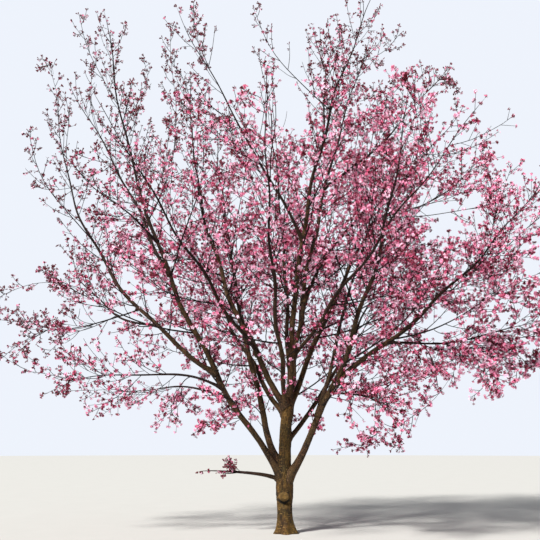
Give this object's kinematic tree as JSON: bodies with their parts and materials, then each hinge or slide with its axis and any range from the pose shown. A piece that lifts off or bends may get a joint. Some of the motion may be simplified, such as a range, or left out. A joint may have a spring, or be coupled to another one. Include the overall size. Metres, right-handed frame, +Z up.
{
  "type": "flowering cherry tree in full blossom",
  "caption": "Vase-shaped flowering cherry tree: short trunk with flared foot, long bare boughs fanning out, and masses of pink blossom twigs on them.",
  "frame": {"origin": "middle of the flat cut under the trunk, at ground level", "axes": "+Z up the trunk; +X to the right as the picture shows the tree; the picture is taken from -Y"},
  "size_m": [10.3971, 8.8031, 9.9509],
  "materials": {
    "trunk_bark": "rough olive-brown bark with pale cross bands",
    "bough_bark": "dark brown bark",
    "blossom": "soft matt petals"
  },
  "bodies": {
    "root": {"trunk": "trunk_bark", "left_bough": "bough_bark", "left_back_bough": "bough_bark", "right_bough": "bough_bark", "back_bough": "bough_bark", "low_left_bough": "bough_bark", "right_inner_bough": "bough_bark", "back_right_bough": "bough_bark", "back_left_bough": "bough_bark", "right_back_bough": "bough_bark", "upper_left_bough": "bough_bark", "front_bough": "bough_bark", "centre_left_bough": "bough_bark", "centre_bough": "bough_bark", "far_left_bough": "bough_bark", "left_low_bough": "bough_bark", "left_skirt_bough": "bough_bark", "left_outer_bough": "bough_bark", "left_front_bough": "bough_bark", "far_left_low_bough": "bough_bark", "cross_bough": "bough_bark", "centre_tip_bough": "bough_bark", "right_inner_outer_bough": "bough_bark", "upper_right_bough": "bough_bark", "front_right_bough": "bough_bark", "front_left_bough": "bough_bark", "right_back_low_bough": "bough_bark", "right_mid_bough": "bough_bark", "right_skirt_bough": "bough_bark", "right_low_bough": "bough_bark", "left_blossom": "blossom", "left_back_blossom": "blossom", "right_blossom": "blossom", "back_blossom": "blossom", "low_left_blossom": "blossom", "right_inner_blossom": "blossom", "back_right_blossom": "blossom", "back_left_blossom": "blossom", "right_back_blossom": "blossom", "upper_left_blossom": "blossom", "front_blossom": "blossom", "centre_left_blossom": "blossom", "centre_blossom": "blossom", "far_left_blossom": "blossom", "left_low_blossom": "blossom", "left_skirt_blossom": "blossom", "left_outer_blossom": "blossom", "left_front_blossom": "blossom", "far_left_low_blossom": "blossom", "cross_blossom": "blossom", "centre_tip_blossom": "blossom", "right_inner_outer_blossom": "blossom", "upper_right_blossom": "blossom", "front_right_blossom": "blossom", "front_left_blossom": "blossom", "right_back_low_blossom": "blossom", "right_mid_blossom": "blossom", "right_skirt_blossom": "blossom", "right_low_blossom": "blossom"}
  },
  "joints": []
}
